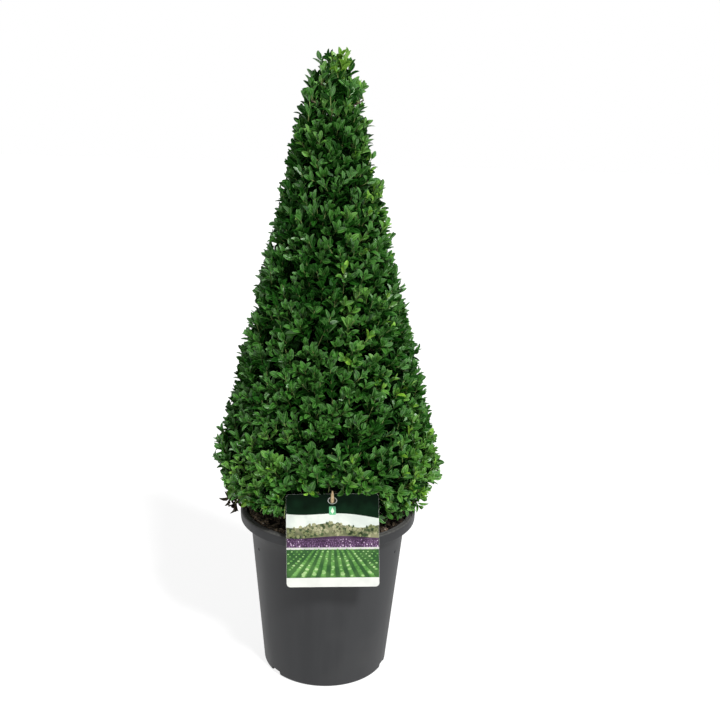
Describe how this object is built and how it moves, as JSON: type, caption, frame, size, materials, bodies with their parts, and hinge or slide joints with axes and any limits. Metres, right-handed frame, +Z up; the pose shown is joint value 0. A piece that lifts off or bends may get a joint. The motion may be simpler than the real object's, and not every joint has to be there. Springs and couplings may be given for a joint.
{
  "type": "boxwood cone topiary",
  "caption": "Clipped evergreen cone in a round nursery pot, with a plant label hung on a split cane over the rim.",
  "frame": {"origin": "centre of the pot's flat underside", "axes": "+Z up the plant, -Y towards the front where the label hangs, +X to the right seen from the front"},
  "size_m": [0.3216, 0.322, 0.8782],
  "materials": {
    "pot": "matt anthracite moulded plastic",
    "soil": "damp dark peat with bark crumbs",
    "bark": "rough grey-brown bark",
    "foliage": "glossy dark to mid green leaves",
    "card": "printed semi-gloss plastic sheet",
    "cane": "pale split bamboo"
  },
  "bodies": {
    "root": {"pot": "pot", "soil": "soil", "stem": "bark", "bough_front_left": "bark", "bough_front_right": "bark", "bough_back_right": "bark", "bough_back_left": "bark", "foliage_base": "foliage", "foliage_lower": "foliage", "foliage_middle": "foliage", "foliage_upper": "foliage", "foliage_tip": "foliage", "label_card": "card", "label_cane": "cane"}
  },
  "joints": []
}
